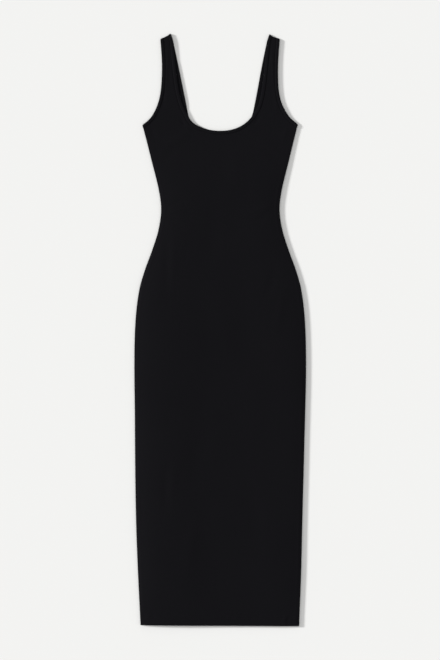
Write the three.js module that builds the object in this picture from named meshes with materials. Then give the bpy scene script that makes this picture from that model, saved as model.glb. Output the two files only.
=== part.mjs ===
// A sleeveless bodycon dress in heavy stretch jersey, laid flat on its back with the front uppermost.
// X runs across the dress, Y from the hem to the shoulders and Z up. The origin is on the surface that
// the dress lies on, under the middle of its length. Left and right are as seen from above.
//
// Every piece is first drawn on the flat, as (distance across, height above the hem). lay() then puts
// the drawn point where the cloth lies, turning it round the folds at the sides and the shoulders.

import * as THREE from "three";

// ---- Sizes, in millimetres ----

const dressLength = 1320; // from the hem to the neck end of the shoulder seam
const clothThickness = 1.2;
const seamGap = 0.3; // between pieces that are sewn together
const bandWidth = 7; // neckline and armhole bands
const bandRise = 0.3; // how far the front bands stand above the panel

const tightFold = 1.35; // outer radius of the fold at the shoulders and the underarms
const softFold = 2; // the same along the sides of the body
const domeRise = 1.3; // how much higher the front lies away from the side folds
const domeReach = 14; // the distance in which it gains most of that
const hemLoft = 0.6; // share of the body's fullness that is left at the hem
const bodyTop = { from: 960, to: 1110 }; // heights between which that fullness dies away
const hemSettle = 120; // height over which the hem's lower fullness reaches the body's

const quarter = Math.PI / 2;
const foldExtra = (quarter - 1) * tightFold; // cloth that a tight fold takes up beyond the outline

// The laid dress, from its middle line to the side fold.
const sideTable = [
  { place: "hem", height: 0, half: 177.2 },
  { place: "calf", height: 146, half: 183 },
  { place: "knee", height: 325, half: 187.8 },
  { place: "thigh", height: 460, half: 190.2 },
  { place: "full hip", height: 590, half: 192 },
  { place: "hip", height: 683, half: 189.3 },
  { place: "high hip", height: 750, half: 181.2 },
  { place: "belly", height: 795, half: 168.7 },
  { place: "low waist", height: 840, half: 152.2 },
  { place: "under waist", height: 884, half: 138.5 },
  { place: "waist", height: 929, half: 132.2 },
  { place: "ribs", height: 974, half: 137.2 },
  { place: "under bust", height: 1041, half: 153.6 },
  { place: "underarm", height: 1119, half: 173.4 },
];
const underarm = sideTable[sideTable.length - 1];

// The skirt lies a little to the left between its hem and the thigh.
const sway = { height: 235, reach: 270, shift: -2.4 };

// Both ends of the shoulder seam, as (half width, height).
const shoulderNeck = new THREE.Vector2(111, dressLength);
const shoulderArm = new THREE.Vector2(132.7, dressLength - 10);
const alongShoulder = shoulderArm.clone().sub(shoulderNeck).normalize();
const outOfShoulder = new THREE.Vector2(-alongShoulder.y, alongShoulder.x);

const frontNeckDepth = 213; // below the neck end of the shoulder seam, at the middle
const backNeckDepth = 275;

// ---- The laid form ----

const smooth = (from, to, x) => THREE.MathUtils.smoothstep(x, from, to);

// Half width at a height: a cubic through the table's rows, and straight on past the last one.
function halfWidth(height) {
  const last = sideTable.length - 1;
  const slope = (i, j) =>
    (sideTable[j].half - sideTable[i].half) / (sideTable[j].height - sideTable[i].height);
  const slopeAt = (i) => slope(Math.max(i - 1, 0), Math.min(i + 1, last));
  if (height >= underarm.height) {
    return underarm.half + slope(last - 1, last) * (height - underarm.height);
  }
  const above = Math.max(sideTable.findIndex((row) => row.height > height), 1);
  const [low, high] = [sideTable[above - 1], sideTable[above]];
  const step = high.height - low.height;
  const t = (height - low.height) / step;
  return (
    (2 * t ** 3 - 3 * t ** 2 + 1) * low.half +
    (t ** 3 - 2 * t ** 2 + t) * step * slopeAt(above - 1) +
    (3 * t ** 2 - 2 * t ** 3) * high.half +
    (t ** 3 - t ** 2) * step * slopeAt(above)
  );
}

// How full the dress lies at a height: 1 over the body and 0 at the straps.
function loft(height) {
  const body = hemLoft + (1 - hemLoft) * smooth(0, hemSettle, height);
  return body * (1 - smooth(bodyTop.from, bodyTop.to, height));
}

const foldRadius = (height) => tightFold + (softFold - tightFold) * loft(height);

// Half width of the cloth itself, which goes a quarter turn round the fold to the side seam.
const halfCloth = (height) => halfWidth(height) + (quarter - 1) * foldRadius(height);

function swayAt(height) {
  const t = Math.min(Math.abs(height - sway.height) / sway.reach, 1);
  return sway.shift * Math.cos(quarter * t) ** 2;
}

// Where a drawn point of the front or the back lies. depth is measured into the cloth from its right side.
function lay(isFront, drawn, depth) {
  const side = Math.sign(drawn.x) || 1;
  const radius = foldRadius(drawn.y);
  const toSide = halfCloth(drawn.y) - Math.abs(drawn.x);
  const half = new THREE.Vector2(Math.abs(drawn.x), drawn.y);
  const toShoulder = foldExtra - half.clone().sub(shoulderNeck).dot(outOfShoulder);
  const p = half.clone();
  let rise = radius - depth;
  for (const [inset, out] of [
    [toSide, new THREE.Vector2(1, 0)],
    [toShoulder, outOfShoulder],
  ]) {
    if (inset >= quarter * radius) continue;
    const angle = inset / radius;
    p.addScaledVector(out, (radius - depth) * Math.cos(angle) + inset - quarter * radius);
    rise = (radius - depth) * Math.sin(angle);
  }
  const inward = Math.max(toSide - quarter * radius, 0);
  const dome = domeRise * loft(drawn.y) * (1 - Math.exp(-inward / domeReach));
  const z = isFront ? radius + seamGap + rise + dome : radius - rise;
  return new THREE.Vector3(side * p.x + swayAt(drawn.y), p.y, z);
}

// ---- The drawn edges, on the right-hand half ----

const vector = ([x, y]) => new THREE.Vector2(x, y);

// A smooth edge from rows of Bézier points, each row starting where the last one ends.
function edge(start, rows) {
  const path = new THREE.CurvePath();
  let from = start;
  for (const row of rows) {
    const [first, second, end] = row.map(vector);
    path.add(new THREE.CubicBezierCurve(from, first, second, end));
    from = end;
  }
  return path;
}

// A point of the shoulder seam, a quarter turn out from the outline.
const foldPoint = (p) => p.clone().addScaledVector(outOfShoulder, foldExtra).toArray();

// Armhole: from the underarm round under the arm, then up the strap.
const armholeEdge = edge(new THREE.Vector2(halfCloth(underarm.height), underarm.height), [
  [[137, 1153.5], [129.3, 1175], [129.3, 1245]],
  [[129.3, 1268], [131.4, 1290], foldPoint(shoulderArm)],
]);

// Front neckline: a round scoop, then up the strap.
const frontNeckLow = dressLength - frontNeckDepth;
const frontNeckEdge = edge(new THREE.Vector2(0, frontNeckLow), [
  [[52, frontNeckLow], [70, 1133], [81.4, 1157]],
  [[96, 1189], [99, 1245], [104.8, 1303]],
  [[106, 1309], [108.5, 1315], foldPoint(shoulderNeck)],
]);

// Back neckline: deeper and straighter, so its straps show a little inside the front ones.
const backNeckLow = dressLength - backNeckDepth;
const backNeckEdge = edge(new THREE.Vector2(0, backNeckLow), [
  [[48, backNeckLow], [60, 1104], [73.2, 1148]],
  [[83, 1195], [93, 1250], [104.8, 1303]],
  [[106, 1309], [108.5, 1315], foldPoint(shoulderNeck)],
]);

// A line at a distance from an edge, on its cloth side. turn is 1 where the cloth is on the left of the
// edge's own direction and -1 on the right. At the ends the step in follows the seam that is met there.
const endShare = 0.07; // share of an edge in which the step in turns to follow that seam
function lineInside({ path, turn, startSeam, endSeam }, distance) {
  return (t) => {
    const tangent = path.getTangentAt(t);
    const inward = new THREE.Vector2(-tangent.y, tangent.x).multiplyScalar(turn);
    const across = inward.clone();
    across.lerp(startSeam ?? inward, 1 - smooth(0, endShare, t));
    across.lerp(endSeam ?? inward, smooth(1 - endShare, 1, t));
    across.multiplyScalar(distance / across.dot(inward));
    return path.getPointAt(t).add(across);
  };
}

const belowArm = 10; // the side seam's direction is taken over this much below the underarm
const alongSide = new THREE.Vector2(
  halfCloth(underarm.height - belowArm) - halfCloth(underarm.height),
  -belowArm,
).normalize();
const toNeck = alongShoulder.clone().negate();
const armhole = { path: armholeEdge, turn: 1, startSeam: alongSide, endSeam: toNeck };
const frontNeck = { path: frontNeckEdge, turn: -1, endSeam: alongShoulder };
const backNeck = { path: backNeckEdge, turn: -1, endSeam: alongShoulder };

// ---- Patches of cloth, drawn on the flat ----

const foldRows = 3; // rows of faces round a fold
const legRows = 22; // rows up each strap, from the middle of the neckline and from the underarm
const skirtRows = { to: 650, count: 11 }; // rows of the body up to a height
const waistRows = { to: 1000, count: 12 }; // and closer ones where the outline bends most
const leastRow = 12; // a row nearer than this to the neckline's own is left out
const slantFrom = 640; // height where the rows begin to slant up to the underarm
const crowdShare = 0.15; // share of the armhole in which a leg's points spread out evenly

const mirror = (p) => new THREE.Vector2(-p.x, p.y);
const evenly = (from, to, count) =>
  Array.from({ length: count }, (_, i) => from + ((to - from) * (i + 1)) / count);

// Shares of an edge's length from one end to the other, the last few of them round the shoulder fold.
// On an armhole the first few go round the side fold.
function stations(path, startsFolded) {
  const turnShare = (quarter * tightFold) / path.getLength();
  const start = startsFolded ? evenly(0, turnShare, foldRows) : [];
  const between = legRows - foldRows - start.length;
  return [
    ...start,
    ...evenly(startsFolded ? turnShare : 0, 1 - turnShare, between),
    ...evenly(1 - turnShare, 1, foldRows),
  ];
}

// Points from an outer to an inner one. Where crowd is 1 the first few go round the side fold. The row
// runs straight where sag is 0, and leaves the inner point level where it is 1.
function span(outer, inner, crowd, sag) {
  const shares = [0.03, 0.1, 0.24, 0.48, 0.74, 1]; // of what is left after the fold
  const foldShare = (quarter * foldRadius(outer.y)) / outer.distanceTo(inner);
  const crowded = [
    0,
    ...evenly(0, foldShare, foldRows),
    ...shares.map((share) => foldShare + (1 - foldShare) * share),
  ];
  const last = crowded.length - 1;
  return crowded.map((crowdedShare, i) => {
    const share = THREE.MathUtils.lerp(i / last, crowdedShare, crowd);
    const p = outer.clone().lerp(inner, share);
    p.y += sag * (inner.y - outer.y) * share * (1 - share);
    return p;
  });
}

// Collects rows of points, and a four-sided face between each pair of neighbours in two rows.
class Patch {
  points = [];
  quads = [];
  row(points) {
    return points.map((p) => this.points.push(p) - 1);
  }
  join(low, high) {
    for (let i = 0; i + 1 < low.length; i += 1) {
      this.quads.push([low[i], low[i + 1], high[i + 1], high[i]]);
    }
  }
}

// A front or back panel: rows from the hem to the neckline, then a leg of rows up each strap.
function panelPatch(neck) {
  const patch = new Patch();
  const neckSeam = lineInside(neck, bandWidth + seamGap);
  const armSeam = lineInside(armhole, bandWidth + seamGap);
  const [middleTop, sideTop] = [neckSeam(0), armSeam(0)];
  const slant = sideTop.y - middleTop.y;
  const skirt = evenly(0, skirtRows.to, skirtRows.count);
  const waist = evenly(skirtRows.to, waistRows.to, waistRows.count);
  const below = [0, ...skirt, ...waist].filter((height) => height < middleTop.y - leastRow);
  const heights = [...below, middleTop.y];

  let low;
  let centre;
  for (const height of heights) {
    const sideHeight = height + slant * smooth(slantFrom, middleTop.y, height);
    const outer = new THREE.Vector2(halfCloth(sideHeight), sideHeight);
    const half = span(outer, new THREE.Vector2(0, height), 1, 1);
    centre = half.length - 1;
    const row = patch.row([...half.map(mirror), ...half.slice(0, -1).reverse()]);
    if (low) patch.join(low, row);
    low = row;
  }

  let left = low.slice(0, centre + 1);
  let right = low.slice(centre);
  const neckStations = stations(neck.path, false);
  for (const [i, t] of stations(armholeEdge, true).entries()) {
    const crowd = 1 - smooth(0, crowdShare, t);
    const leg = span(armSeam(t), neckSeam(neckStations[i]), crowd, 0);
    const leftRow = patch.row(leg.map(mirror));
    const rightRow = patch.row([...leg].reverse());
    patch.join(left, leftRow);
    patch.join(right, rightRow);
    [left, right] = [leftRow, rightRow];
  }
  return patch;
}

// One half of a band, as pairs of lines: its open edge, its middle and its seam with the panel.
function bandRows(side, ts) {
  const lines = [0, 0.5, 1].map((share) => lineInside(side, bandWidth * share));
  return ts.map((t) => lines.map((line) => line(t)));
}

function stripPatch(rows) {
  const patch = new Patch();
  rows.map((row) => patch.row(row)).reduce((low, high) => (patch.join(low, high), high));
  return patch;
}

function neckBandPatch(neck) {
  const half = bandRows(neck, [0, ...stations(neck.path, false)]);
  const otherHalf = half.slice(1).map((row) => row.map(mirror));
  return stripPatch([...otherHalf.reverse(), ...half]);
}

function armholeBandPatch(side) {
  const rows = bandRows(armhole, [0, ...stations(armholeEdge, true)]);
  return stripPatch(side > 0 ? rows : rows.map((row) => row.map(mirror)));
}

// ---- Solids ----

// A wall of cloth over a patch: its right side, its wrong side and a rim round its edge.
function clothGeometry(patch, isFront, topDepth) {
  const count = patch.points.length;
  const positions = [topDepth, clothThickness].flatMap((depth) =>
    patch.points.flatMap((p) => lay(isFront, p, depth).toArray()),
  );
  const area = patch.quads.reduce((sum, [a, b, c]) => {
    const [p, q, r] = [a, b, c].map((i) => patch.points[i]);
    return sum + q.clone().sub(p).cross(r.clone().sub(p));
  }, 0);
  const faces = [];
  const borders = new Map();
  for (const quad of patch.quads) {
    const [a, b, c, d] = quad;
    faces.push([a, b, c], [a, c, d]);
    faces.push([c + count, b + count, a + count], [d + count, c + count, a + count]);
    quad.forEach((from, i) => {
      const to = quad[(i + 1) % quad.length];
      if (!borders.delete(`${to} ${from}`)) borders.set(`${from} ${to}`, [from, to]);
    });
  }
  for (const [from, to] of borders.values()) {
    // The rim's faces split the same way on both sides of a seam.
    const rises = patch.points[from].y < patch.points[to].y;
    faces.push([to, from, (rises ? from : to) + count]);
    faces.push([rises ? to : from, from + count, to + count]);
  }
  const facesOut = area > 0 === isFront;
  const index = faces.flatMap((face) => (facesOut ? face : [...face].reverse()));
  const geometry = new THREE.BufferGeometry();
  geometry.setAttribute("position", new THREE.Float32BufferAttribute(positions, 3));
  geometry.setIndex(index);
  geometry.computeVertexNormals();
  return geometry;
}

const jersey = () =>
  new THREE.MeshStandardMaterial({ color: 0x151517, roughness: 0.92, metalness: 0 });
const bandJersey = () =>
  new THREE.MeshStandardMaterial({ color: 0x131315, roughness: 0.88, metalness: 0 });

const dress = new THREE.Group();
dress.position.y = -dressLength / 2;

function add(name, patch, isFront, material, topDepth = 0) {
  const mesh = new THREE.Mesh(clothGeometry(patch, isFront, topDepth), material);
  mesh.name = name;
  dress.add(mesh);
}

add("front_panel", panelPatch(frontNeck), true, jersey());
add("back_panel", panelPatch(backNeck), false, jersey());
add("front_neck_band", neckBandPatch(frontNeck), true, bandJersey(), -bandRise);
add("back_neck_band", neckBandPatch(backNeck), false, bandJersey());
for (const [hand, side] of [["left", -1], ["right", 1]]) {
  add(`front_armhole_band_${hand}`, armholeBandPatch(side), true, bandJersey(), -bandRise);
  add(`back_armhole_band_${hand}`, armholeBandPatch(side), false, bandJersey());
}

export default dress;
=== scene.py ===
# A bodycon dress in black stretch jersey, laid flat on a pale surface with the front up.
# X runs across, Y from the hem to the shoulders, Z up. Cloth is drawn in millimetres, as (x, height
# above the hem), and every mesh is in metres.
import bpy
import numpy as np
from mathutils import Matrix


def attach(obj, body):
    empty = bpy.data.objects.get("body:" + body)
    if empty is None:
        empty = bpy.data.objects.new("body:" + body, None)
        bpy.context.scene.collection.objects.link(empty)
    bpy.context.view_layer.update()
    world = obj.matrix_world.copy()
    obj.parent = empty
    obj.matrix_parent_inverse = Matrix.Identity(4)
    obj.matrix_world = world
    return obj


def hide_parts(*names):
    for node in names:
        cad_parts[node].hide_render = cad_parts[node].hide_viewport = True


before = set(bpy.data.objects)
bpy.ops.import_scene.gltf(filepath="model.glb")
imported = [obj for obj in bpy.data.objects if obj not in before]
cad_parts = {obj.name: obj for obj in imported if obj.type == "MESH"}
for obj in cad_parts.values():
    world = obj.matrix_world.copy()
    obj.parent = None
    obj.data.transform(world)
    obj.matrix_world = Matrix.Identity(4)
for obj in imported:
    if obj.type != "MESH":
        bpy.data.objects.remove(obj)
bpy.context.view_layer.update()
millimetre = 0.001
quarter = np.pi / 2

dress = {
    "length": 1320.0,
    "thickness": 1.1,
    "seamGap": 0.1,      # between pieces that are sewn together
    "band": 7.0,         # width of the neckline and armhole bands
    "tightFold": 1.5,    # outer radius of the folds at the shoulders and underarms
    "softFold": 2.0,     # the same along the sides of the body
    "domeRise": 2.5,     # how much higher the front lies away from the side folds
    "domeReach": 24.0,
    "hemLoft": 0.6,      # share of the fullness left at the hem, and where it has all come back
    "hemSettle": 120.0,
    "fullFrom": 960.0,   # the fullness dies away between these heights
    "fullTo": 1110.0,
    "frontNeckDrop": 213.0,
    "backNeckDrop": 275.0,
    "shoulderNeckX": 111.0,
    "shoulderArmX": 132.7,
    "shoulderDrop": 10.0,   # how much lower the shoulder's arm end is
}

# height above the hem, half width of the laid dress
sideRows = np.array([
    (0, 177.2), (146, 183), (325, 187.8), (460, 190.2), (590, 192), (683, 189.3), (750, 181.2),
    (795, 168.7), (840, 152.2), (884, 138.5), (929, 132.2), (974, 137.2), (1041, 153.6), (1119, 173.4),
], dtype=float)

# height, how far the cloth there lies to the right of the middle
swayRows = np.array([
    (-20, -0.6), (120, -1.6), (235, -2.3), (380, -1.2), (520, 0.1), (700, 0.3), (860, 0.8), (960, 0.6),
    (1060, 0.1), (1400, 0.0),
], dtype=float)


def smooth(low, high, x):
    # 3t^2 - 2t^3, with t from 0 at low to 1 at high
    t = np.clip((x - low) / (high - low), 0, 1)
    return t * t * (3 - 2 * t)


def throughRows(rows, at):
    # a cubic between neighbouring rows, with each row's slope taken from the rows on both sides of it
    h, w = rows[:, 0], rows[:, 1]
    last = len(h) - 1
    before, after = np.maximum(np.arange(last + 1) - 1, 0), np.minimum(np.arange(last + 1) + 1, last)
    slope = (w[after] - w[before]) / (h[after] - h[before])
    i = np.clip(np.searchsorted(h, at, side="right") - 1, 0, last - 1)
    step = h[i + 1] - h[i]
    t = (at - h[i]) / step
    curve = ((2 * t**3 - 3 * t**2 + 1) * w[i] + (t**3 - 2 * t**2 + t) * step * slope[i]
             + (3 * t**2 - 2 * t**3) * w[i + 1] + (t**3 - t**2) * step * slope[i + 1])
    return np.where(at > h[-1], w[-1] + slope[-1] * (at - h[-1]), curve)


def loft(height):
    # 1 over the body, less at the hem and 0 at the straps
    body = dress["hemLoft"] + (1 - dress["hemLoft"]) * smooth(0, dress["hemSettle"], height)
    return body * (1 - smooth(dress["fullFrom"], dress["fullTo"], height))


def foldRadius(height):
    # the tight radius, and the share of the way to the soft one that loft gives
    return dress["tightFold"] + (dress["softFold"] - dress["tightFold"]) * loft(height)


def halfCloth(height):
    # half the laid width, and what the cloth's quarter turn to the side seam adds
    return throughRows(sideRows, height) + (quarter - 1) * foldRadius(height)


foldExtra = (quarter - 1) * dress["tightFold"]
toMiddle = -dress["length"] / 2   # from heights above the hem to Y
shoulderNeck = np.array([dress["shoulderNeckX"], dress["length"]])
shoulderArm = np.array([dress["shoulderArmX"], dress["length"] - dress["shoulderDrop"]])
alongShoulder = (shoulderArm - shoulderNeck) / np.linalg.norm(shoulderArm - shoulderNeck)
outOfShoulder = np.array([-alongShoulder[1], alongShoulder[0]])

settling = {
    "hemTilt": -0.0062,              # the hem runs slightly down to the right
    "tiltTo": 220,                   # height where the tilt has died away
    "neckPeak": (110.5, 4.0, 1.7),   # the strap's inner corner stands up: where, how wide, how high
    "peakFrom": (1300, 1318),        # heights that it grows between
}

# x and height of a spot, how far its shift reaches across and along, and the shift to the right and up
localShifts = [
    (-153, 1136, 24, 24, 0.0, -4.4),   # the left underarm lies low
    (0, 1106, 66, 42, 0.0, -1.7),      # and so does the front scoop
    (90, 1145, 24, 52, 1.7, -0.4),
    (-88, 1158, 20, 60, 0.7, -0.4),
    (137, 1185, 16, 58, -1.0, 0.0),
    (-131, 1200, 12, 44, -0.5, 0.0),
    (93, 1205, 20, 40, 0.6, 0.0),
    (-64, 1124, 16, 16, -1.4, -1.9),
    (156, 1138, 16, 16, -1.1, -1.5),
    (-117, 1318, 14, 14, 0.0, 1.8),    # the left strap's end is the higher one
    (-131, 1312, 6, 10, 0.0, 0.9),
    (131, 1312, 7, 12, 0.0, 1.6),
    (172, 160, 70, 150, 0.9, 0.0),     # the skirt's right side lies out
    (160, 1010, 40, 60, 0.7, 0.0),
    (-150, 960, 40, 90, -0.6, 0.0),
]


def settle(x, y):
    # small shifts in the plane: the sway of the skirt, the hem's tilt, the straps' peaks, and at each spot
    # shift * exp(-(dx / across)^2 - (dy / along)^2)
    peakAt, peakWide, peakHigh = settling["neckPeak"]
    up = y + settling["hemTilt"] * x * (1 - smooth(0, settling["tiltTo"], y))
    up = up + peakHigh * np.exp(-((np.abs(x) - peakAt) / peakWide) ** 2) * smooth(*settling["peakFrom"], y)
    right = x + throughRows(swayRows, y)
    for spotX, spotY, across, lengthwise, shiftRight, shiftUp in localShifts:
        near = np.exp(-((x - spotX) / across) ** 2 - ((y - spotY) / lengthwise) ** 2)
        right, up = right + shiftRight * near, up + shiftUp * near
    return right, up


def toSideSeam(x, y):
    # half the flat cloth at that height, less the distance from the middle line
    return halfCloth(y) - np.abs(x)


def toShoulderSeam(x, y):
    # the fold's extra cloth - (point - neck end of the shoulder) . outward direction
    beyond = (np.abs(x) - shoulderNeck[0]) * outOfShoulder[0] + (y - shoulderNeck[1]) * outOfShoulder[1]
    return foldExtra - beyond


def lay(front, x, y, depth):
    # Over the flat z = 2r + gap - depth on the front and depth on the back. A point nearer an edge than a
    # quarter turn goes round it: out = (r - depth) cos a, up = (r - depth) sin a, a = its distance / r.
    # The front also rises by domeRise * loft * (1 - exp(-inward / domeReach)).
    radius = foldRadius(y)
    layer = radius - depth
    px, py = np.abs(x), y.copy()
    toSide = toSideSeam(x, y)
    rise = layer
    for inset, out in ((toSide, (1.0, 0.0)), (toShoulderSeam(x, y), outOfShoulder)):
        turned = inset < quarter * radius
        push = np.where(turned, layer * np.cos(inset / radius) + inset - quarter * radius, 0)
        px, py = px + push * out[0], py + push * out[1]
        rise = np.where(turned, layer * np.sin(inset / radius), rise)
    inward = np.maximum(toSide - quarter * radius, 0)
    dome = dress["domeRise"] * loft(y) * (1 - np.exp(-inward / dress["domeReach"]))
    z = radius + dress["seamGap"] + rise + dome if front else radius - rise
    px, py = settle(np.where(x < 0, -px, px), py)
    return np.stack([px, py + toMiddle, z], -1) * millimetre


def drawEdge(start, rows, steps=300):
    # joined cubic Bezier rows of two handles and an end, sampled and measured along
    s = np.linspace(0, 1, steps + 1)[1:, None]
    parts = [np.array([start], dtype=float)]
    for a, b, end in rows:
        first, a, b, end = parts[-1][-1], np.array(a), np.array(b), np.array(end)
        parts.append((1 - s) ** 3 * first + 3 * (1 - s) ** 2 * s * a + 3 * (1 - s) * s**2 * b + s**3 * end)
    points = np.concatenate(parts)
    run = np.concatenate([[0], np.cumsum(np.linalg.norm(np.diff(points, axis=0), axis=1))])
    return {"points": points, "share": run / run[-1], "length": run[-1]}


def along(edge, t):
    # the point a share t along the edge
    p = edge["points"]
    return np.stack([np.interp(t, edge["share"], p[:, 0]), np.interp(t, edge["share"], p[:, 1])], -1)


underarm = sideRows[-1, 0]
neckEnd = shoulderNeck + outOfShoulder * foldExtra
armEnd = shoulderArm + outOfShoulder * foldExtra
frontNeckLow = dress["length"] - dress["frontNeckDrop"]
backNeckLow = dress["length"] - dress["backNeckDrop"]
strapTop = [[106, 1309], [108.5, 1315], neckEnd]
armholeEdge = drawEdge([float(halfCloth(np.array(underarm))), underarm], [
    [[137, 1153.5], [129.3, 1175], [129.3, 1245]],
    [[129.3, 1268], [131.4, 1290], armEnd],
])
frontNeckEdge = drawEdge([0, frontNeckLow], [
    [[52, frontNeckLow], [70, 1133], [81.4, 1157]],
    [[96, 1189], [99, 1245], [104.8, 1303]],
    strapTop,
])
backNeckEdge = drawEdge([0, backNeckLow], [
    [[48, backNeckLow], [60, 1104], [73.2, 1148]],
    [[83, 1195], [93, 1250], [104.8, 1303]],
    strapTop,
])
belowArm = 10.0   # the side seam's direction is taken over this length
widerBelow = float(halfCloth(np.array(underarm - belowArm)) - halfCloth(np.array(underarm)))
downSide = np.array([widerBelow, -belowArm])
downSide /= np.linalg.norm(downSide)
armhole = {"edge": armholeEdge, "turn": 1, "startSeam": downSide, "endSeam": -alongShoulder}
frontNeck = {"edge": frontNeckEdge, "turn": -1, "startSeam": None, "endSeam": alongShoulder}
backNeck = {"edge": backNeckEdge, "turn": -1, "startSeam": None, "endSeam": alongShoulder}


def lineInside(side, distance, t):
    # p(t) + distance * a / (a . n), where n points into the cloth, and a is n but leans to the seam that
    # the edge meets, within an endShare of that end
    edge, near, endShare = side["edge"], 0.0015, 0.07
    tangent = along(edge, np.minimum(t + near, 1)) - along(edge, np.maximum(t - near, 0))
    tangent /= np.linalg.norm(tangent, axis=-1, keepdims=True)
    inward = np.stack([-tangent[..., 1], tangent[..., 0]], -1) * side["turn"]
    across = inward
    atStart, atEnd = 1 - smooth(0, endShare, t), smooth(1 - endShare, 1, t)
    for seam, weight in ((side["startSeam"], atStart), (side["endSeam"], atEnd)):
        if seam is not None:
            across = across + (seam - across) * weight[..., None]
    across = across / np.sum(across * inward, -1, keepdims=True)
    return along(edge, t) + across * np.broadcast_to(distance, t.shape)[..., None]


def distanceTo(edge, x, y):
    # the least distance from each point to the edge's samples, of which every second is enough
    p = edge["points"][::2]
    gap = (np.abs(x).reshape(-1, 1) - p[:, 0]) ** 2 + (np.reshape(y, (-1, 1)) - p[:, 1]) ** 2
    return np.sqrt(gap.min(1)).reshape(np.shape(x))


# middle x and y, half length as dx and dy, width, height (a trough where it is below 0)
frontCreases = [
    (-120, 800, 3, 95, 8, -0.42), (-106, 815, 5, 80, 9, 0.26), (-119, 305, 2, 78, 9, -0.45),
    (-104, 318, 4, 60, 9, 0.33), (-99, 927, 31, -7, 6, 0.45), (-92, 948, 26, 5, 5, -0.36),
    (-96, 899, 27, -13, 7, -0.33), (99, 934, 29, 8, 7, 0.42), (95, 912, 24, 11, 6, -0.38),
    (90, 958, 30, -4, 6, 0.27), (112, 762, 20, 62, 10, -0.45), (134, 700, 9, 66, 9, 0.39),
    (-62, 178, 19, 96, 17, 0.60), (74, 246, -12, 122, 20, -0.54), (12, 640, -16, 190, 34, 0.83),
    (-46, 420, 12, 164, 27, -0.68), (62, 520, 10, 142, 31, 0.63), (-20, 880, 9, 120, 24, -0.51),
    (30, 1010, 14, 74, 20, 0.45), (-97, 1086, 36, 21, 9, 0.48), (-112, 1052, 30, 26, 8, -0.36),
    (99, 1079, -33, 22, 8, 0.45), (118, 1046, -26, 28, 8, -0.39), (-83, 1126, 7, -11, 4, -0.48),
    (-74, 1112, 12, -9, 5, 0.30), (81, 1129, -8, -10, 4, -0.45), (-119, 1238, 3, 50, 3.2, 0.30),
    (-112, 1270, -4, 38, 2.8, -0.30), (117, 1246, -3, 54, 3.2, 0.30), (111, 1275, 3, 34, 2.6, -0.27),
    (-126, 1180, 6, 40, 4, -0.27), (124, 1176, -5, 42, 4, 0.27), (146, 1100, 9, 24, 5, 0.33),
    (-150, 1102, -8, 22, 5, -0.33), (145, 12, 2.5, 13, 4, 0.51), (152, 13, 2, 12, 3, -0.30),
]
backCreases = [
    (-60, 700, 18, 150, 22, -0.75), (72, 610, -14, 170, 26, -0.69), (-96, 930, 34, -9, 7, -0.60),
    (102, 922, 28, 10, 8, -0.57), (20, 300, 12, 180, 28, -0.78), (-110, 300, 6, 120, 14, -0.51),
    (118, 240, -8, 100, 13, -0.54), (0, 960, 26, 52, 20, -0.60), (-100, 1072, 30, 22, 9, -0.51),
    (104, 1070, -28, 24, 9, -0.48), (-112, 1230, 4, 60, 4, -0.36), (114, 1228, -4, 62, 4, -0.33),
]
lieOfCloth = {
    "clearOfSeam": (1, 9),       # relief grows from nothing between these distances from a seam
    "frontSwell": 0.32,
    "backSwell": 0.22,
    "backLift": 1.3,             # mean height of the back's waves, which keeps them off the surface
    "waves": 9,
    "waveLengths": (70, 260),
    "waveStretch": 0.6,          # under 1 makes the waves longer up the dress
    "frontSeed": 11,
    "backSeed": 16,
    "creaseBend": 0.18,          # how far a crease wanders, in its own widths
    "creaseTurn": 3.1,           # and the angle that it wanders through in half its length
    "sideAllowance": 0.22,       # the side seam's turnings, which show as a faint ridge
    "allowanceAt": 9.0,
    "allowanceWide": 2.6,
    "hemRoll": 0.4,
    "hemRollHigh": 6.0,
    "leftRise": 4.2,             # the front lies fuller along its left side
    "leftReach": 28.0,
    "leftTo": (-150, 60),        # x where it begins to die away, and where it has gone
    "leftAtHem": 0.6,            # share of it at the hem, growing to all at this height
    "leftFullAt": 120,
    "leftAtWaist": 0.35,         # share of it above these heights
    "leftWaist": (740, 880),
    "leftTop": (1000, 1120),     # and it ends between these
    "backNeckCurl": 1.1,         # how far the back neckline's free edge stands up beside each strap
    "curlReach": 8.0,
    "curlFrom": (1140, 1175),
    "curlUntil": (1250, 1296),
}


def swell(x, y, seed):
    # a sum of sin(2 pi d / length + phase), d being the distance along each wave's own random direction,
    # over two thirds of their number, so that it mostly stays between -1 and 1
    random = np.random.default_rng(seed)
    c = lieOfCloth
    total = np.zeros_like(x)
    for _ in range(c["waves"]):
        turn, length = random.uniform(0, np.pi), random.uniform(*c["waveLengths"])
        phase = random.uniform(0, 2 * np.pi)
        distance = x * np.cos(turn) + c["waveStretch"] * y * np.sin(turn)
        total += np.sin(2 * np.pi * distance / length + phase)
    return total / (c["waves"] * 2 / 3)


def creaseField(x, y, rows):
    # each row adds height * exp(-(v / width)^2) * (1 - u^2)^2, with u along it and v across it from a line
    # that a sine bends
    total = np.zeros_like(x)
    for cx, cy, dx, dy, width, height in rows:
        half = np.hypot(dx, dy)
        u = ((x - cx) * dx + (y - cy) * dy) / half**2
        v = ((x - cx) * dy - (y - cy) * dx) / half
        v = v + lieOfCloth["creaseBend"] * width * np.sin(lieOfCloth["creaseTurn"] * u + cx)
        total += height * np.exp(-(v / width) ** 2) * np.clip(1 - u * u, 0, 1) ** 2
    return total


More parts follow.
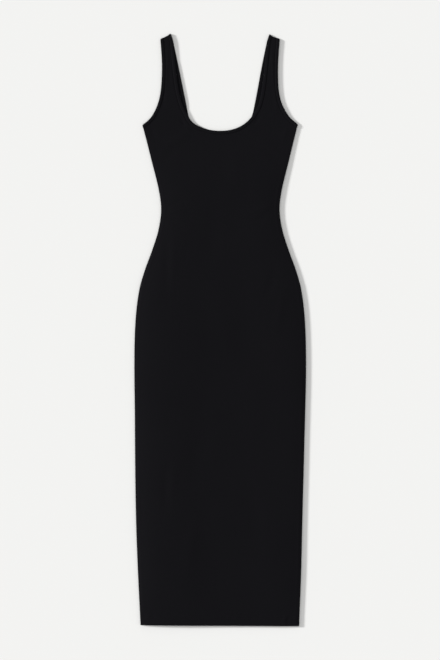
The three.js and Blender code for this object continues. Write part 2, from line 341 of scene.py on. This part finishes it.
def lie(front, x, y):
    # How far the cloth stands off its drawn form, with nothing at the side and shoulder seams. On the
    # front it is creases + waves + the seam's ridge - the hem's roll + the fuller left side. On the back
    # it is creases - lifted waves - the neckline's curl, since its outer face is the lower one.
    c, toSide = lieOfCloth, toSideSeam(x, y)
    away = smooth(*c["clearOfSeam"], toSide) * smooth(*c["clearOfSeam"], toShoulderSeam(x, y))
    waves = swell(x, y, c["frontSeed"] if front else c["backSeed"])
    if front:
        fromRidge = (toSide - c["allowanceAt"]) / c["allowanceWide"]
        ridge = c["sideAllowance"] * np.exp(-fromRidge**2) * loft(y)
        roll = c["hemRoll"] * (1 - smooth(0, c["hemRollHigh"], y))
        fromHem = c["leftAtHem"] + (1 - c["leftAtHem"]) * smooth(0, c["leftFullAt"], y)
        upBody = fromHem * (1 - (1 - c["leftAtWaist"]) * smooth(*c["leftWaist"], y))
        fuller = c["leftRise"] * (1 - np.exp(-toSide / c["leftReach"])) * (1 - smooth(*c["leftTo"], x))
        fuller = fuller * upBody * (1 - smooth(*c["leftTop"], y))
        relief = creaseField(x, y, frontCreases) + c["frontSwell"] * waves * loft(y) + ridge - roll
        return away * relief + fuller
    free = smooth(*c["curlFrom"], y) * (1 - smooth(*c["curlUntil"], y))
    curl = c["backNeckCurl"] * free * np.exp(-(distanceTo(backNeckEdge, x, y) / c["curlReach"]) ** 2)
    swelled = c["backSwell"] * (c["backLift"] + waves) * loft(y)
    return away * (creaseField(x, y, backCreases) - swelled - curl)


seams = {
    "grooveDeep": 0.26,        # the dip where a band meets its panel
    "grooveWide": 0.9,
    "stitchAway": 1.7,         # from that dip to the topstitching
    "stitchDip": 0.14,
    "stitchWide": 0.6,
    "hemDeep": 20.0,
    "hemStep": 0.38,           # what the doubled cloth adds
    "stepEnds": (-1, 3),       # it dies away between these, from the hem's depth
    "stepClear": (0, 8),       # distances from the side seam between which it grows
    "hemRows": (17.2, 22.0),   # heights of the two rows of stitching
    "hemRowWide": 0.8,
    "rowClear": (0, 5),
    "hemPucker": 0.2,
    "puckerReach": 8.0,
    "puckerClear": (2, 12),
    "puckerWave": 2.9,         # its sine's length over 2 pi, and those of the two that vary it
    "puckerDrift": 17.0,
    "puckerGroups": 31.0,
    "backPucker": 0.7,         # the back's share of the pucker
}


def sewn(front, x, y):
    # Each seam and row of stitching takes away deep * exp(-(distance / wide)^2). The doubled hem adds a
    # step, and its pucker is one sine whose phase and height two longer ones vary. The hem's relief ends
    # at the side seams.
    s, neck = seams, frontNeckEdge if front else backNeckEdge
    relief = np.zeros_like(x)
    for edge in (neck, armholeEdge):
        away = np.maximum(distanceTo(edge, x, y) - dress["band"], 0)
        relief -= s["grooveDeep"] * np.exp(-(away / s["grooveWide"]) ** 2)
        relief -= s["stitchDip"] * np.exp(-((away - s["stitchAway"]) / s["stitchWide"]) ** 2)
    toSide = toSideSeam(x, y)
    stepFrom, stepTo = (s["hemDeep"] + end for end in s["stepEnds"])
    doubled = s["hemStep"] * (1 - smooth(stepFrom, stepTo, y)) * smooth(*s["stepClear"], toSide)
    for row in s["hemRows"]:
        nearRow = np.exp(-((y - row) / s["hemRowWide"]) ** 2)
        relief -= s["stitchDip"] * nearRow * smooth(*s["rowClear"], toSide)
    ripple = np.sin(x / s["puckerWave"] + 1.3 * np.sin(x / s["puckerDrift"]))
    ripple = ripple * (0.6 + 0.4 * np.sin(x / s["puckerGroups"] + 1)) - 0.4
    nearHem = np.exp(-((y - s["hemDeep"]) / s["puckerReach"]) ** 2)
    pucker = s["hemPucker"] * ripple * nearHem * smooth(*s["puckerClear"], toSide)
    return relief + doubled + pucker if front else relief - s["backPucker"] * np.abs(pucker)


def makePiece(name, points, faces, uv, material):
    # one closed smooth-shaded mesh, with the flat piece's own coordinates in metres as its UV map
    mesh = bpy.data.meshes.new(name)
    mesh.from_pydata(points, [], faces)
    layer = mesh.uv_layers.new(name="cloth")
    corner = np.empty(len(mesh.loops), dtype=np.int32)
    mesh.loops.foreach_get("vertex_index", corner)
    layer.data.foreach_set("uv", np.asarray(uv, dtype=np.float32)[corner].ravel())
    mesh.polygons.foreach_set("use_smooth", np.ones(len(mesh.polygons), dtype=bool))
    mesh.materials.append(material)
    mesh.update()
    piece = bpy.data.objects.new(name, mesh)
    bpy.context.scene.collection.objects.link(piece)
    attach(piece, "root")
    print(name, len(mesh.vertices), "points", len(mesh.polygons), "faces")
    return piece


def gridQuads(index):
    # a face between each pair of neighbouring rows and columns
    return np.stack([index[:-1, :-1], index[:-1, 1:], index[1:, 1:], index[1:, :-1]], -1).reshape(-1, 4)


rimShape = {
    "rings": (0.1, 0.3, 0.5, 0.7, 0.9),   # shares of the way from the outer face to the inner one
    "blunt": 0.6,                         # under 1 squares the rim's section
    "atSeam": 0.02,                       # how far the rim bulges at a seam, and at the hem
    "atHem": 0.3,
    "hemClear": (0, 4),                   # the hem's bulge grows between these distances from a side seam
}


def clothWall(name, front, x, y, quads, outDepth, inDepth, bulge, uv, material):
    # Outer face, inner face and a rim of rings between them. A ring's point goes out of the edge by
    # bulge * sin(pi s)^blunt while its depth goes from the outer to the inner one, s from 0 to 1.
    count = len(x)
    used = np.unique(quads)
    renumber = np.full(count, -1)
    renumber[used] = np.arange(len(used))
    x, y, outDepth, inDepth, bulge, uv = (part[used] for part in (x, y, outDepth, inDepth, bulge, uv))
    quads, count = renumber[quads], len(used)
    corners = np.stack([x[quads], y[quads]], -1)
    turn = np.cross(corners[:, 2] - corners[:, 0], corners[:, 3] - corners[:, 1])
    quads = np.where(turn[:, None] < 0, quads[:, ::-1], quads)
    a, b = quads.ravel(), np.roll(quads, -1, 1).ravel()
    free = ~np.isin(a * count + b, b * count + a)
    a, b = a[free], b[free]
    away = np.zeros((count, 2))
    edgeOut = np.stack([y[b] - y[a], x[a] - x[b]], -1)
    edgeOut /= np.maximum(np.linalg.norm(edgeOut, axis=1, keepdims=True), 1e-9)
    np.add.at(away, a, edgeOut)
    np.add.at(away, b, edgeOut)
    rim = np.unique(np.concatenate([a, b]))
    away = away[rim] / np.maximum(np.linalg.norm(away[rim], axis=1, keepdims=True), 1e-9)
    place = np.full(count, -1)
    place[rim] = np.arange(len(rim))
    steps = rimShape["rings"]
    layers = [lay(front, x, y, outDepth)]
    for s in steps:
        out = bulge[rim] * np.sin(np.pi * s) ** rimShape["blunt"]
        depth = outDepth[rim] * (1 - s) + inDepth[rim] * s
        layers.append(lay(front, x[rim] + away[:, 0] * out, y[rim] + away[:, 1] * out, depth))
    layers.append(lay(front, x, y, inDepth))
    inStart = count + len(steps) * len(rim)
    ringA = [a] + [count + i * len(rim) + place[a] for i in range(len(steps))] + [inStart + a]
    ringB = [b] + [count + i * len(rim) + place[b] for i in range(len(steps))] + [inStart + b]
    faces = [quads, quads[:, ::-1] + inStart]
    for i in range(len(steps) + 1):
        faces.append(np.stack([ringA[i], ringA[i + 1], ringB[i + 1], ringB[i]], -1))
    faces = np.concatenate(faces)
    if not front:
        faces = faces[:, ::-1]
    uvAll = np.concatenate([uv] + [uv[rim]] * len(steps) + [uv])
    return makePiece(name, np.concatenate(layers).tolist(), faces.tolist(), uvAll, material)


panelGrid = {
    "hemRows": 30,
    "hemTo": 42.0,       # height up to which the rows lie close
    "bodyRows": 196,
    "strapRows": 92,
    "foldRows": 6,       # of those, in the shoulder's fold and in the side's
    "foldColumns": 7,
    "columns": 48,
    "ease": 0.6,         # over 0 crowds the columns towards the side
    "crowdShare": 0.15,  # share of the armhole over which the columns even out
    "slantFrom": 640.0,  # height above which rows run up to the underarm
    "edging": (0, 0.35, 0.7, 1.1, 1.5, 1.9, 2.4, 3.1, 4.2),   # lines beside each band's seam
}


def panelHalf(neck):
    # The right half as three grids that share their joins: the body with its strap, from outer to inner
    # points, and a strip of close lines beside the neckline's seam and the armhole's. Body rows end on the
    # middle line, and rows of the strap run from one strip to the other. A row's points are a share s of
    # the way in and s + sag s (1 - s) of the way down. Sag is 1 in the body, whose rows end level. In the
    # strap it is 1 - (the neckline strip's slope / the row's), if over 0, and the rows end along the strip.
    g, seam = panelGrid, dress["band"] + dress["seamGap"]
    edging = seam + np.array(g["edging"])
    zero = np.array([0.0])
    middleTop = lineInside(neck, edging[-1], zero)[0, 1]
    sideTop = lineInside(armhole, edging[-1], zero)[0, 1]
    heights = np.concatenate([
        np.linspace(0, g["hemTo"], g["hemRows"], endpoint=False),
        np.linspace(g["hemTo"], middleTop, g["bodyRows"] + 1)])
    sideHeights = heights + (sideTop - middleTop) * smooth(g["slantFrom"], middleTop, heights)
    turn, fold = quarter * dress["tightFold"], g["foldRows"]
    armTurn, neckTurn = turn / armholeEdge["length"], turn / neck["edge"]["length"]
    between = g["strapRows"] - 2 * fold
    armT = np.concatenate([
        np.linspace(0, armTurn, fold + 1), np.linspace(armTurn, 1 - armTurn, between + 1)[1:],
        np.linspace(1 - armTurn, 1, fold + 1)[1:]])
    neckT = np.concatenate([
        np.linspace(0, 1 - neckTurn, between + fold + 1), np.linspace(1 - neckTurn, 1, fold + 1)[1:]])
    neckStrip = lineInside(neck, edging[None, :], np.repeat(neckT[:, None], len(edging), 1))
    armStrip = lineInside(armhole, edging[None, :], np.repeat(armT[:, None], len(edging), 1))
    outer = np.concatenate([np.stack([halfCloth(sideHeights), sideHeights], -1), armStrip[1:, -1]])
    inner = np.concatenate([np.stack([0 * heights, heights], -1), neckStrip[1:, -1]])
    crowd = np.concatenate([np.ones(len(heights)), 1 - smooth(0, g["crowdShare"], armT[1:])])[:, None]
    seamStep = np.gradient(neckStrip[:, -1], axis=0)[1:]
    strapRow = outer[len(heights):] - neckStrip[1:, -1]
    seamSlope = seamStep[:, 1] / seamStep[:, 0]
    strapSag = np.clip(1 - seamSlope * strapRow[:, 0] / np.maximum(strapRow[:, 1], 0.01), 0, 1)
    sag = np.concatenate([np.ones(len(heights)), strapSag])[:, None]
    foldShare = (quarter * foldRadius(outer[:, 1]) / np.linalg.norm(outer - inner, axis=1))[:, None]
    w = np.linspace(0, 1, g["columns"] + 1)[None, :]
    eased = (1 - g["ease"]) * w + g["ease"] * (1 - np.cos(quarter * w))
    folded = foldShare * np.linspace(0, 1, g["foldColumns"], endpoint=False)[None, :]
    crowded = np.concatenate([folded, foldShare + (1 - foldShare) * eased], 1)
    even = np.linspace(0, 1, crowded.shape[1])[None, :]
    share = even + (crowded - even) * crowd
    x = outer[:, :1] + (inner[:, :1] - outer[:, :1]) * share
    y = outer[:, 1:] + (inner[:, 1:] - outer[:, 1:]) * (share + sag * share * (1 - share))
    body = np.arange(x.size).reshape(x.shape)
    neckIndex = x.size + np.arange(neckStrip[..., 0].size).reshape(neckStrip.shape[:2])
    armIndex = neckIndex.max() + 1 + np.arange(armStrip[..., 0].size).reshape(armStrip.shape[:2])
    neckIndex[:, -1] = body[len(heights) - 1:, -1]
    armIndex[:, -1] = body[len(heights) - 1:, 0]
    flatX = np.concatenate([x.ravel(), neckStrip[..., 0].ravel(), armStrip[..., 0].ravel()])
    flatY = np.concatenate([y.ravel(), neckStrip[..., 1].ravel(), armStrip[..., 1].ravel()])
    middle = np.concatenate([body[:len(heights), -1], neckIndex[0]])
    flatX[middle] = 0
    return flatX, flatY, (body, neckIndex, armIndex), middle


def makePanel(name, front, neck, material):
    # Both halves share the middle line. The outer depth is -(lie + sewn), and the inner one is
    # thickness - lie, so that seams and stitching dent the outer face alone. The back's outer face stays
    # on or above the surface.
    x, y, grids, middle = panelHalf(neck)
    other = np.arange(len(x)) + len(x)
    other[middle] = middle
    halves = [gridQuads(grid) for grid in grids] + [gridQuads(other[grid]) for grid in grids]
    quads = np.concatenate(halves)
    flatX, flatY = np.concatenate([x, -x]), np.concatenate([y, y])
    shape = lie(front, flatX, flatY)
    outDepth = -shape - sewn(front, flatX, flatY)
    inDepth = dress["thickness"] - shape
    if not front:
        outDepth = np.maximum(outDepth, 0)
    uv = np.stack([flatX, flatY], -1) * millimetre
    hemBulge = rimShape["atHem"] * smooth(*rimShape["hemClear"], toSideSeam(flatX, flatY))
    hemEdge = flatY < 1
    bulge = np.where(hemEdge, hemBulge, rimShape["atSeam"])
    return clothWall(name, front, flatX, flatY, quads, outDepth, inDepth, bulge, uv, material)


bandShape = {
    "rows": 150,
    "foldRows": 6,          # of those, in the shoulder's fold
    "sideReach": 1.6,       # rows also lie close over this many fold turns at the side seam
    "columns": 12,
    "rise": 0.3,            # how far it stands above the panel
    "crown": 0.24,
    "seamDip": 0.32,
    "dipWide": 0.9,
    "edgeRound": 0.55,      # how far its folded edge bulges
    "ripple": 0.05,
    "rippleWave": 3.1,      # its sine's length over 2 pi, and that of the one that varies it
    "rippleDrift": 23.0,
    "seamShare": 0.4,       # share of the rise left at the side and shoulder seams
    "seamClear": (-0.5, 4),
    "backDip": 0.8,         # the back's share of the dip
    "backNeckCrown": 0.7,   # share of the crown on the back neckline's inner face, which shows from above
}


def makeBand(name, front, side, half, material):
    # A strip from the open edge to the seam, w from 0 to 1. It stands rise + crown * sqrt(sin(pi w)) above
    # the cloth, with a ripple, less a dip at the seam.
    b, width = bandShape, dress["band"]
    turn = quarter * dress["tightFold"] / side["edge"]["length"]
    t = np.linspace(0, 1 - turn, b["rows"] - b["foldRows"], endpoint=False)
    t = np.concatenate([t, np.linspace(1 - turn, 1, b["foldRows"] + 1)])
    if side is armhole:
        t = np.unique(np.concatenate([t, np.linspace(0, turn * b["sideReach"], b["foldRows"] + 2)]))
    w = np.linspace(0, 1, b["columns"] + 1)
    points = lineInside(side, width * w[None, :] + 0 * t[:, None], np.repeat(t[:, None], len(w), 1))
    x, y = points[..., 0], points[..., 1]
    run = (t * side["edge"]["length"])[:, None] + 0 * x
    if half == "both":
        x, y = np.concatenate([-x[:0:-1], x]), np.concatenate([y[:0:-1], y])
        run = np.concatenate([-run[:0:-1], run])
    elif half == "left":
        x = -x
    share = np.broadcast_to(w[None, :], x.shape)
    dip = b["seamDip"] * np.exp(-((1 - share) * width / b["dipWide"]) ** 2)
    crown = b["crown"] * np.sqrt(np.maximum(np.sin(np.pi * share), 0))
    ripple = b["ripple"] * np.sin(run / b["rippleWave"] + 2 * np.sin(run / b["rippleDrift"]))
    ripple = ripple * np.sin(np.pi * share)
    away = smooth(*b["seamClear"], toShoulderSeam(x, y)) * smooth(*b["seamClear"], toSideSeam(x, y))
    shape = lie(front, x, y)
    stand = (b["rise"] + crown + ripple) * (b["seamShare"] + (1 - b["seamShare"]) * away) - dip
    inDepth = dress["thickness"] - shape
    if front:
        outDepth = -shape - stand
    else:
        outDepth = np.maximum(-shape + dip * b["backDip"], 0)
    if side is backNeck:
        inDepth = inDepth + b["backNeckCrown"] * crown * away
    quads = gridQuads(np.arange(x.size).reshape(x.shape))
    openEdge = share < 0.01
    bulge = np.where(openEdge, b["edgeRound"] * away, rimShape["atSeam"])
    uv = np.stack([run, share * width], -1) * millimetre
    return clothWall(name, front, x.ravel(), y.ravel(), quads, outDepth.ravel(), inDepth.ravel(),
                     bulge.ravel(), uv.reshape(-1, 2), material)


thread = {
    "radius": 0.19,
    "pitch": 3.0,
    "long": 2.35,
    "sunk": 0.05,                         # how deep a stitch lies in the cloth
    "endGap": 1.6,                        # pitches left bare at a line's far end, at least
    "hemInset": 1.2,                      # the hem's rows stop this short of the side seams
    "bandSteps": 400,                     # samples of a line beside a band, and of a hem row
    "hemSteps": 300,
    "around": 6,                          # faces round a stitch
    "ringAt": (-0.42, -0.2, 0.2, 0.42),   # places of its rings, in shares of its length
    "ringSize": (0.7, 1.0, 1.0, 0.7),
}


def evenSteps(points, pitch):
    # centres a pitch apart along a drawn line, and half a stitch to either side of each its two ends
    run = np.concatenate([[0], np.cumsum(np.linalg.norm(np.diff(points, axis=0), axis=1))])
    centres = np.arange(pitch, run[-1] - thread["endGap"] * pitch, pitch)
    ends = []
    for shift in (-thread["long"] / 2, thread["long"] / 2):
        at = centres + shift
        ends.append(np.stack([np.interp(at, run, points[:, 0]), np.interp(at, run, points[:, 1])], -1))
    return ends


def stitchLines(neck):
    # in the flat cloth, lines a fixed distance beyond each band's seam, and level rows round the hem
    away = dress["band"] + dress["seamGap"] + seams["stitchAway"]
    t = np.linspace(0, 1, thread["bandSteps"])
    neckLine, armLine = lineInside(neck, away, t), lineInside(armhole, away, t)
    flip = np.array([-1.0, 1.0])
    lines = [np.concatenate([(neckLine * flip)[:0:-1], neckLine]), armLine, armLine * flip]
    for row in seams["hemRows"]:
        edge = float(halfCloth(np.array(row))) - thread["hemInset"]
        across = np.linspace(-edge, edge, thread["hemSteps"])
        lines.append(np.stack([across, np.full_like(across, row)], -1))
    return lines


def makeStitches(name, front, neck, inside, material):
    # Each stitch is a small tapered rod: centre + axis * s + radius(s) * (side cos q + up sin q). Those
    # inside lie on the inner face, which shows between the straps.
    starts, ends = [], []
    for line in stitchLines(neck):
        a, b = evenSteps(line, thread["pitch"])
        for points, store in ((a, starts), (b, ends)):
            x, y = points[:, 0], points[:, 1]
            shape, cut = lie(front, x, y), sewn(front, x, y)
            if inside:
                depth = dress["thickness"] - shape + thread["radius"] - thread["sunk"]
            else:
                depth = -(shape + cut) - (thread["radius"] - thread["sunk"])
                depth = depth if front else np.maximum(depth, thread["radius"])
            store.append(lay(front, x, y, depth))
    a, b = np.concatenate(starts), np.concatenate(ends)
    axis = b - a
    sideways = np.cross(axis, [0, 0, 1.0])
    sideways /= np.linalg.norm(sideways, axis=1, keepdims=True)
    up = np.cross(sideways, axis)
    up /= np.linalg.norm(up, axis=1, keepdims=True)
    s, fat = np.array(thread["ringAt"]), np.array(thread["ringSize"])
    q = np.linspace(0, 2 * np.pi, thread["around"], endpoint=False)
    middle = (a + b) / 2
    turned = np.cos(q)[None, :, None] * sideways[:, None, :] + np.sin(q)[None, :, None] * up[:, None, :]
    rings = (middle[:, None, None, :] + s[None, :, None, None] * axis[:, None, None, :]
             + thread["radius"] * millimetre * fat[None, :, None, None] * turned[:, None, :, :])
    each = len(s) * len(q)
    tips = [(middle - axis / 2)[:, None], (middle + axis / 2)[:, None]]
    points = np.concatenate([rings.reshape(len(a), each, 3)] + tips, 1)
    ring = np.arange(each).reshape(len(s), len(q))
    after = np.roll(ring, -1, 1)
    tube = np.stack([ring[:-1], ring[1:], after[1:], after[:-1]], -1).reshape(-1, 4)
    startCap = np.stack([ring[0], after[0], np.full(len(q), each)], -1)
    endCap = np.stack([after[-1], ring[-1], np.full(len(q), each + 1)], -1)
    first = (np.arange(len(a)) * (each + 2))[:, None, None]
    quads = (tube[None] + first).reshape(-1, 4).tolist()
    caps = (np.concatenate([startCap, endCap])[None] + first).reshape(-1, 3).tolist()
    uv = np.zeros((points.shape[0] * points.shape[1], 2))
    alongThread = np.concatenate([np.repeat(s, len(q)), [-0.5, 0.5]]) * thread["long"] * millimetre
    roundThread = np.concatenate([np.tile(q, len(s)), [0, 0]]) * thread["radius"] * millimetre
    uv[:, 0], uv[:, 1] = np.tile(alongThread, len(a)), np.tile(roundThread, len(a))
    return makePiece(name, points.reshape(-1, 3).tolist(), quads + caps, uv, material)


jersey = {
    "colour": (0.0033, 0.0031, 0.0043),
    "lighter": (0.0043, 0.0041, 0.0053),
    "roughness": 0.85,
    "specular": 0.06,
    "sheen": 0.006,
    "sheenRoughness": 0.6,
    "wale": 1.05,            # the knit's columns and rows, in millimetres
    "course": 0.8,
    "lean": 1.7,             # how far a row's loops lean into each other
    "rowShare": 0.25,        # how much the rows show beside the columns
    "fibreScale": 1400,
    "fibreDetail": 3,
    "fibreHeight": 0.35,
    "bump": 0.22,
    "bumpHeight": 0.00025,   # in metres
    "cloudScale": 9,
    "cloudDetail": 5,
    "cloudShare": 0.7,       # of the tone, with the rest from the fibres
}
bandJersey = dict(jersey, colour=(0.0031, 0.0029, 0.0041), bump=0.28)
threadLook = dict(jersey, colour=(0.0042, 0.0042, 0.0052), roughness=0.7, specular=0.1, sheen=0.0)


def knitMaterial(name, look):
    # height = loops * (1 - rowShare + rowShare * sin(2 pi y / course + lean * loops)) + fibre noise, with
    # loops = |sin(pi x / wale)|. Cloudy noise and the fibres mix the colour with the lighter one.
    material = bpy.data.materials.new(name)
    material.use_nodes = True
    nodes, links = material.node_tree.nodes, material.node_tree.links
    shader = nodes["Principled BSDF"]
    shader.inputs["Roughness"].default_value = look["roughness"]
    shader.inputs["Specular IOR Level"].default_value = look["specular"]
    shader.inputs["Sheen Weight"].default_value = look["sheen"]
    shader.inputs["Sheen Roughness"].default_value = look["sheenRoughness"]

    def maths(operation, a, b=None, c=None):
        # one operation on sockets and plain numbers, as a new socket
        node = nodes.new("ShaderNodeMath")
        node.operation = operation
        for socket, value in zip(node.inputs, (a, b, c)):
            if hasattr(value, "links"):
                links.new(value, socket)
            elif value is not None:
                socket.default_value = value
        return node.outputs[0]

    cloth = nodes.new("ShaderNodeUVMap")
    cloth.uv_map = "cloth"
    split = nodes.new("ShaderNodeSeparateXYZ")
    links.new(cloth.outputs["UV"], split.inputs[0])
    columns = maths("MULTIPLY", split.outputs["X"], float(np.pi / (look["wale"] * millimetre)))
    loops = maths("ABSOLUTE", maths("SINE", columns))
    rows = maths("MULTIPLY", split.outputs["Y"], float(2 * np.pi / (look["course"] * millimetre)))
    legs = maths("SINE", maths("MULTIPLY_ADD", loops, look["lean"], rows))
    knit = maths("MULTIPLY", loops, maths("MULTIPLY_ADD", legs, look["rowShare"], 1 - look["rowShare"]))
    fibre = nodes.new("ShaderNodeTexNoise")
    fibre.inputs["Scale"].default_value = look["fibreScale"]
    fibre.inputs["Detail"].default_value = look["fibreDetail"]
    links.new(cloth.outputs["UV"], fibre.inputs["Vector"])
    height = maths("MULTIPLY_ADD", fibre.outputs[0], look["fibreHeight"], knit)
    bump = nodes.new("ShaderNodeBump")
    bump.inputs["Strength"].default_value = look["bump"]
    bump.inputs["Distance"].default_value = look["bumpHeight"]
    links.new(height, bump.inputs["Height"])
    links.new(bump.outputs[0], shader.inputs["Normal"])
    cloud = nodes.new("ShaderNodeTexNoise")
    cloud.inputs["Scale"].default_value = look["cloudScale"]
    cloud.inputs["Detail"].default_value = look["cloudDetail"]
    links.new(cloth.outputs["UV"], cloud.inputs["Vector"])
    cloudTone = maths("MULTIPLY", cloud.outputs[0], look["cloudShare"])
    tone = maths("ADD", cloudTone, maths("MULTIPLY", fibre.outputs[0], 1 - look["cloudShare"]))
    mix = nodes.new("ShaderNodeMix")
    mix.data_type = "RGBA"
    links.new(tone, mix.inputs["Factor"])
    mix.inputs[6].default_value = (*look["colour"], 1)
    mix.inputs[7].default_value = (*look["lighter"], 1)
    links.new(mix.outputs[2], shader.inputs["Base Color"])
    return material


clothMaterial = knitMaterial("blackJersey", jersey)
bandMaterial = knitMaterial("blackBandJersey", bandJersey)
threadMaterial = knitMaterial("blackThread", threadLook)
print("materials made")

frontPanel = makePanel("frontPanel", True, frontNeck, clothMaterial)
backPanel = makePanel("backPanel", False, backNeck, clothMaterial)
frontNeckBand = makeBand("frontNeckBand", True, frontNeck, "both", bandMaterial)
backNeckBand = makeBand("backNeckBand", False, backNeck, "both", bandMaterial)
frontArmLeft = makeBand("frontArmholeBandLeft", True, armhole, "left", bandMaterial)
frontArmRight = makeBand("frontArmholeBandRight", True, armhole, "right", bandMaterial)
backArmLeft = makeBand("backArmholeBandLeft", False, armhole, "left", bandMaterial)
backArmRight = makeBand("backArmholeBandRight", False, armhole, "right", bandMaterial)
frontStitches = makeStitches("frontStitches", True, frontNeck, False, threadMaterial)
backStitches = makeStitches("backStitches", False, backNeck, False, threadMaterial)
insideStitches = makeStitches("insideBackStitches", False, backNeck, True, threadMaterial)

for piece, node, slot in (
    (frontPanel, "front_panel", "jersey"), (backPanel, "back_panel", "jersey"),
    (frontNeckBand, "front_neck_band", "band_jersey"), (backNeckBand, "back_neck_band", "band_jersey"),
    (frontArmLeft, "front_armhole_band_left", "band_jersey"),
    (frontArmRight, "front_armhole_band_right", "band_jersey"),
    (backArmLeft, "back_armhole_band_left", "band_jersey"),
    (backArmRight, "back_armhole_band_right", "band_jersey"),
):
    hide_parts(node)
print("dress made")


studio = {
    "floor": (0.80, 0.80, 0.788),
    "floorBelow": 0.0002,       # metres under the dress
    "floorReach": 20.0,         # metres to each side
    "sunStrength": 4.93,
    "sunElevation": 16.0,       # degrees, as are the next two
    "sunSoftness": 7.0,
    "sunFrom": 166.0,
    "sky": 0.689,
    "lens": 85.0,               # millimetres, on this sensor
    "sensor": 36.0,
    "frameHeight": 1.4764,      # metres that the camera sees from top to bottom
    "aim": (-0.0002, 0.0006),   # the spot under the camera, in metres
    "farthest": 100,
}

floorMesh = bpy.data.meshes.new("floor")
reach, low = studio["floorReach"], -studio["floorBelow"]
floorCorners = [(-reach, -reach, low), (reach, -reach, low), (reach, reach, low), (-reach, reach, low)]
floorMesh.from_pydata(floorCorners, [], [(0, 1, 2, 3)])
floorMaterial = bpy.data.materials.new("paleFloor")
floorMaterial.use_nodes = True
floorShader = floorMaterial.node_tree.nodes["Principled BSDF"]
floorShader.inputs["Base Color"].default_value = (*studio["floor"], 1)
floorShader.inputs["Roughness"].default_value = 1.0
floorShader.inputs["Specular IOR Level"].default_value = 0.0
floorMesh.materials.append(floorMaterial)
floor = bpy.data.objects.new("floor", floorMesh)
bpy.context.scene.collection.objects.link(floor)

world = bpy.data.worlds.new("studio")
world.use_nodes = True
world.node_tree.nodes["Background"].inputs["Color"].default_value = (1, 1, 1, 1)
world.node_tree.nodes["Background"].inputs["Strength"].default_value = studio["sky"]
bpy.context.scene.world = world

sunData = bpy.data.lights.new("key", "SUN")
sunData.energy = studio["sunStrength"]
sunData.angle = np.radians(studio["sunSoftness"])
sun = bpy.data.objects.new("key", sunData)
sun.rotation_euler = (0, np.radians(90 - studio["sunElevation"]), np.radians(studio["sunFrom"]))
bpy.context.scene.collection.objects.link(sun)

cameraData = bpy.data.cameras.new("camera")
cameraData.sensor_fit = "VERTICAL"
cameraData.sensor_height = studio["sensor"]
cameraData.lens = studio["lens"]
cameraData.clip_end = studio["farthest"]
camera = bpy.data.objects.new("camera", cameraData)
camera.location = (*studio["aim"], studio["frameHeight"] * studio["lens"] / studio["sensor"])
bpy.context.scene.collection.objects.link(camera)
bpy.context.scene.camera = camera
bpy.context.scene.view_settings.view_transform = "Standard"
bpy.context.scene.view_settings.look = "None"

print("scene ready")
